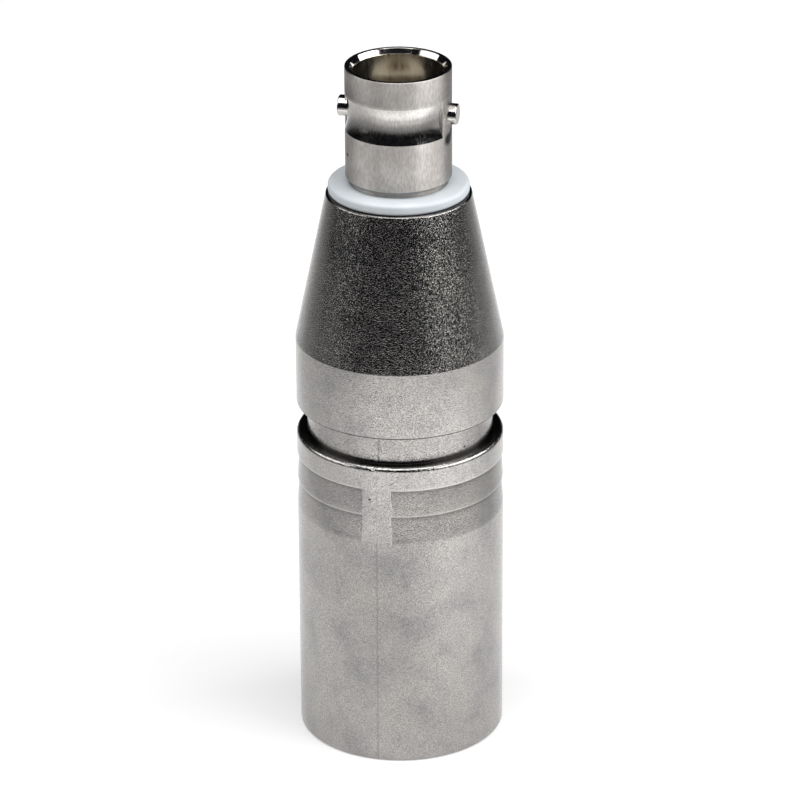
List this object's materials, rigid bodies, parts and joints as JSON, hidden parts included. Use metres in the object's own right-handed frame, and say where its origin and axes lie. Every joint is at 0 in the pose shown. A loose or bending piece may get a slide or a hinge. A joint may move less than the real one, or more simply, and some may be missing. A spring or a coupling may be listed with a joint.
{
  "type": "xlr to bnc adapter",
  "caption": "Plug-in audio adapter with a male XLR plug end, a conical housing and an insulated BNC bayonet socket on one axis.",
  "frame": {"origin": "centre of the XLR rim's plane, which the adapter stands on", "axes": "+Z along the common axis from the XLR end to the BNC end, -Y towards the key rib and the front bar of the shell, +X through the right bayonet lug"},
  "size_m": [0.019, 0.019, 0.0652],
  "materials": {
    "matte_nickel": "matte nickel plate on blasted die-cast zinc",
    "bright_nickel": "bright nickel plate on turned brass",
    "white_nylon": "moulded nylon, satin",
    "black_nylon": "moulded glass-filled nylon, matte",
    "silver_plate": "silver plate on turned brass",
    "gold_plate": "gold plate on turned bronze",
    "ptfe": "turned PTFE, waxy",
    "board_laminate": "glass-epoxy laminate with solder mask",
    "ferrite": "sintered ferrite, matte",
    "enamelled_copper": "enamelled copper wire",
    "red_enamelled_copper": "red enamelled copper wire",
    "tinned_copper": "tinned copper",
    "spring_bronze": "rolled spring bronze"
  },
  "bodies": {
    "root": {"xlr_shell": "matte_nickel", "xlr_insert": "black_nylon", "contact_pin_1": "silver_plate", "contact_pin_2": "silver_plate", "contact_pin_3": "silver_plate", "shell_ground_spring": "spring_bronze", "spacer_sleeve": "black_nylon", "circuit_board": "board_laminate", "transformer_core": "ferrite", "primary_winding": "enamelled_copper", "secondary_winding": "red_enamelled_copper", "signal_wire": "tinned_copper", "ground_wire": "tinned_copper", "rear_housing": "matte_nickel", "insulating_washer": "white_nylon", "inner_insulating_washer": "white_nylon", "solder_tag": "tinned_copper", "lock_washer": "spring_bronze", "hex_nut": "bright_nickel", "bnc_body": "bright_nickel", "bayonet_lug_left": "bright_nickel", "bayonet_lug_right": "bright_nickel", "bnc_dielectric": "ptfe", "bnc_center_contact": "gold_plate"}
  },
  "joints": []
}
